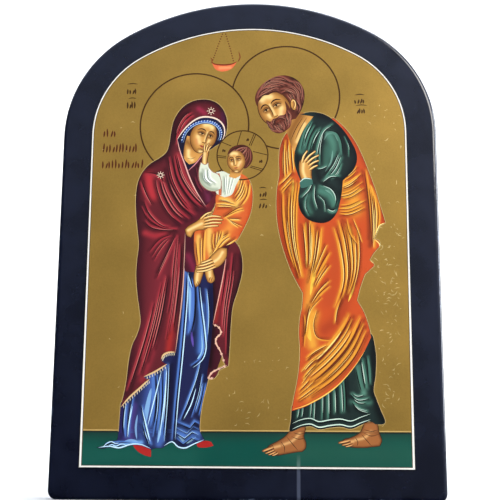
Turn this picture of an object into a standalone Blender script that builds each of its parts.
"""Arched icon panel: a lacquered wooden board with a varnished picture sheet on its face.

The board stands upright on its flat lower edge. X runs across the picture, the picture faces
-Y and Z is up. The origin is the middle of the footprint, on the ground.
"""

import math

import bmesh
import bpy

# Board, in metres
BOARD_WIDTH = 0.180
BOARD_HEIGHT = 0.240
BOARD_THICKNESS = 0.020
CROWN_RADIUS = 0.120
SHOULDER_RADIUS = 0.060
CORNER_RADIUS = 0.004
FRONT_EDGE_RADIUS = 0.002
BACK_EDGE_RADIUS = 0.001

# Picture sheet, in metres
BORDER_WIDTH = 0.014
SHEET_THICKNESS = 0.0003
SHEET_CLEARANCE = 0.0003

# Smoothness of the curves, in segments
CROWN_SEGMENTS = 40
SHOULDER_SEGMENTS = 32
CORNER_SEGMENTS = 6
EDGE_SEGMENTS = 5

# Places worked out from the sizes above
TOTAL_DEPTH = BOARD_THICKNESS + SHEET_CLEARANCE + SHEET_THICKNESS
SHEET_MIDDLE_Y = -TOTAL_DEPTH / 2 + SHEET_THICKNESS / 2
BOARD_MIDDLE_Y = TOTAL_DEPTH / 2 - BOARD_THICKNESS / 2


def clear_scene():
    """Remove whatever the scene holds."""
    for old in list(bpy.data.objects):
        bpy.data.objects.remove(old, do_unlink=True)


def new_collection(name):
    """Make a collection for the object's parts."""
    collection = bpy.data.collections.new(name)
    bpy.context.scene.collection.children.link(collection)
    return collection


def make_material(name, colour, roughness, coat):
    """Make a plain Principled finish."""
    material = bpy.data.materials.new(name)
    material.use_nodes = True
    shader = material.node_tree.nodes["Principled BSDF"]
    shader.inputs["Base Color"].default_value = (*colour, 1.0)
    shader.inputs["Roughness"].default_value = roughness
    shader.inputs["Metallic"].default_value = 0.0
    shader.inputs["Coat Weight"].default_value = coat
    return material


def arc(centre_x, centre_z, radius, start, end, segments):
    """Points on an arc from start to end, in degrees, leaving out the last one."""
    points = []
    for step in range(segments):
        angle = math.radians(start + (end - start) * step / segments)
        points.append((centre_x + radius * math.cos(angle), centre_z + radius * math.sin(angle)))
    return points


def arched_outline(inset, corner_radius):
    """Outline of the three-centred arch, drawn in from the board's edge by inset.

    A wide crown arc in the middle runs into a tighter shoulder arc at each side. All three keep
    their centres, so an inset outline stays parallel to the board's own.
    """
    half_width = BOARD_WIDTH / 2 - inset
    shoulder_x = BOARD_WIDTH / 2 - SHOULDER_RADIUS
    centre_distance = CROWN_RADIUS - SHOULDER_RADIUS
    crown_drop = math.sqrt(centre_distance**2 - shoulder_x**2)
    spring_z = BOARD_HEIGHT - CROWN_RADIUS + crown_drop
    joint_angle = math.degrees(math.acos(shoulder_x / centre_distance))
    crown = CROWN_RADIUS - inset
    shoulder = SHOULDER_RADIUS - inset
    corner_x = half_width - corner_radius
    corner_z = inset + corner_radius

    points = []
    if corner_radius > 0:
        points += arc(-corner_x, corner_z, corner_radius, 180, 270, CORNER_SEGMENTS)
        points.append((-corner_x, inset))
        points += arc(corner_x, corner_z, corner_radius, 270, 360, CORNER_SEGMENTS)
        points.append((half_width, corner_z))
    else:
        points += [(-half_width, inset), (half_width, inset)]
    points += arc(shoulder_x, spring_z, shoulder, 0, joint_angle, SHOULDER_SEGMENTS)
    points += arc(0, spring_z - crown_drop, crown, joint_angle, 180 - joint_angle, CROWN_SEGMENTS)
    points += arc(-shoulder_x, spring_z, shoulder, 180 - joint_angle, 180, SHOULDER_SEGMENTS)
    points.append((-half_width, spring_z))
    return points


def upright_slab(name, outline, thickness, middle_y, material, collection):
    """Cut a flat slab to an outline and stand it up, with its face towards -Y."""
    curve = bpy.data.curves.new(name + "_outline", "CURVE")
    curve.dimensions = "2D"
    curve.fill_mode = "BOTH"
    curve.extrude = thickness / 2
    spline = curve.splines.new("POLY")
    spline.points.add(len(outline) - 1)
    for point, (x, z) in zip(spline.points, outline):
        point.co = (x, z, 0.0, 1.0)
    spline.use_cyclic_u = True
    guide = bpy.data.objects.new(name + "_outline", curve)
    guide.location = (0.0, middle_y, 0.0)
    guide.rotation_euler = (math.radians(90), 0.0, 0.0)
    collection.objects.link(guide)
    bpy.context.view_layer.update()

    mesh = bpy.data.meshes.new_from_object(guide.evaluated_get(bpy.context.evaluated_depsgraph_get()))
    mesh.name = name
    slab = bpy.data.objects.new(name, mesh)
    slab.matrix_world = guide.matrix_world.copy()
    bpy.data.objects.remove(guide, do_unlink=True)
    collection.objects.link(slab)

    work = bmesh.new()
    work.from_mesh(mesh)
    bmesh.ops.remove_doubles(work, verts=work.verts, dist=0.00001)
    bmesh.ops.dissolve_limit(work, angle_limit=math.radians(0.5), verts=work.verts, edges=work.edges)
    bmesh.ops.recalc_face_normals(work, faces=work.faces)
    work.to_mesh(mesh)
    work.free()

    mesh.materials.clear()
    mesh.materials.append(material)
    return slab


def round_the_rims(slab, front_radius, back_radius):
    """Round the rim of the front face and, more lightly, the rim of the back face."""
    widest = max(front_radius, back_radius)
    mesh = slab.data
    weights = mesh.attributes.new("bevel_weight_edge", "FLOAT", "EDGE")
    for edge in mesh.edges:
        depths = [mesh.vertices[index].co.z for index in edge.vertices]
        if min(depths) > 0:
            weights.data[edge.index].value = front_radius / widest
        elif max(depths) < 0:
            weights.data[edge.index].value = back_radius / widest
    bevel = slab.modifiers.new("sanded_rims", "BEVEL")
    bevel.limit_method = "WEIGHT"
    bevel.width = widest
    bevel.segments = EDGE_SEGMENTS
    mesh.shade_smooth()
    mesh.set_sharp_from_angle(angle=math.radians(50))


def build_icon():
    """Make the board and the picture sheet that lies on its face."""
    parts = new_collection("arched_icon")

    # A glued wooden board, sawn to the arch, sanded round and sprayed with dark blue lacquer
    lacquer = make_material("dark_blue_lacquer", (0.017, 0.021, 0.036), 0.22, 1.0)
    board = upright_slab(
        "board",
        arched_outline(0.0, CORNER_RADIUS),
        BOARD_THICKNESS,
        BOARD_MIDDLE_Y,
        lacquer,
        parts,
    )
    round_the_rims(board, FRONT_EDGE_RADIUS, BACK_EDGE_RADIUS)

    # A printed sheet, trimmed parallel to the board's edge and glued to the middle of its face
    print_finish = make_material("varnished_print", (0.386, 0.246, 0.080), 0.35, 0.6)
    upright_slab(
        "picture_sheet",
        arched_outline(BORDER_WIDTH, 0.0),
        SHEET_THICKNESS,
        SHEET_MIDDLE_Y,
        print_finish,
        parts,
    )


clear_scene()
build_icon()
